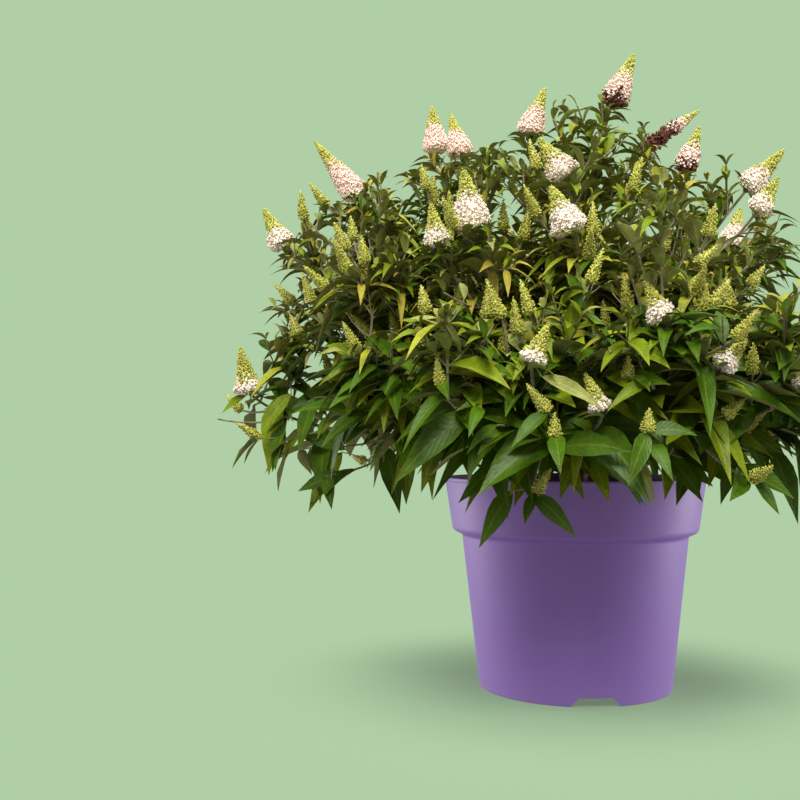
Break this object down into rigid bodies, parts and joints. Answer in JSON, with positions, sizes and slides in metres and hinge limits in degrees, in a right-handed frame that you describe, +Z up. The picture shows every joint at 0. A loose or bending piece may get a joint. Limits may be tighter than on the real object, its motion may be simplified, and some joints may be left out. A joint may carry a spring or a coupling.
{
  "type": "potted butterfly bush",
  "caption": "Compact butterfly bush with spreading leafy shoots that end in conical pale flower spikes, growing in a round stepped-collar plastic nursery pot.",
  "frame": {"origin": "centre of the pot's underside, on the ground", "axes": "+Z up along the pot's axis, -Y towards the bush's front, +X to the right as seen from the front"},
  "size_m": [0.629, 0.5675, 0.5591],
  "materials": {
    "pot_plastic": "satin violet",
    "potting_mix": "crumbly, moist",
    "bark": "thin, finely grooved",
    "foliage": "matt, softly hairy"
  },
  "bodies": {
    "root": {"pot": "pot_plastic", "potting_mix": "potting_mix", "stool": "bark", "bough_front": "bark", "bough_front_high": "bark", "bough_front_left": "bark", "bough_front_left_high": "bark", "bough_front_left_low": "bark", "bough_front_left_middle": "bark", "bough_front_right": "bark", "bough_front_right_high": "bark", "bough_front_right_low": "bark", "bough_left_high": "bark", "bough_left_low": "bark", "bough_left_middle": "bark", "bough_rear_high_1": "bark", "bough_rear_high_2": "bark", "bough_rear_high_3": "bark", "bough_rear_left_high": "bark", "bough_rear_low_1": "bark", "bough_rear_low_2": "bark", "bough_rear_low_3": "bark", "bough_rear_low_4": "bark", "bough_rear_low_5": "bark", "bough_right_front_low": "bark", "bough_right_high": "bark", "bough_summit": "bark", "mass_front": "foliage", "mass_front_high": "foliage", "mass_front_left": "foliage", "mass_front_left_high": "foliage", "mass_front_left_low": "foliage", "mass_front_left_middle": "foliage", "mass_front_right": "foliage", "mass_front_right_high": "foliage", "mass_front_right_low": "foliage", "mass_left_high": "foliage", "mass_left_low": "foliage", "mass_left_middle": "foliage", "mass_rear_high_1": "foliage", "mass_rear_high_2": "foliage", "mass_rear_high_3": "foliage", "mass_rear_left_high": "foliage", "mass_rear_low_1": "foliage", "mass_rear_low_2": "foliage", "mass_rear_low_3": "foliage", "mass_rear_low_4": "foliage", "mass_rear_low_5": "foliage", "mass_right_front_low": "foliage", "mass_right_high": "foliage", "mass_summit": "foliage"}
  },
  "joints": []
}
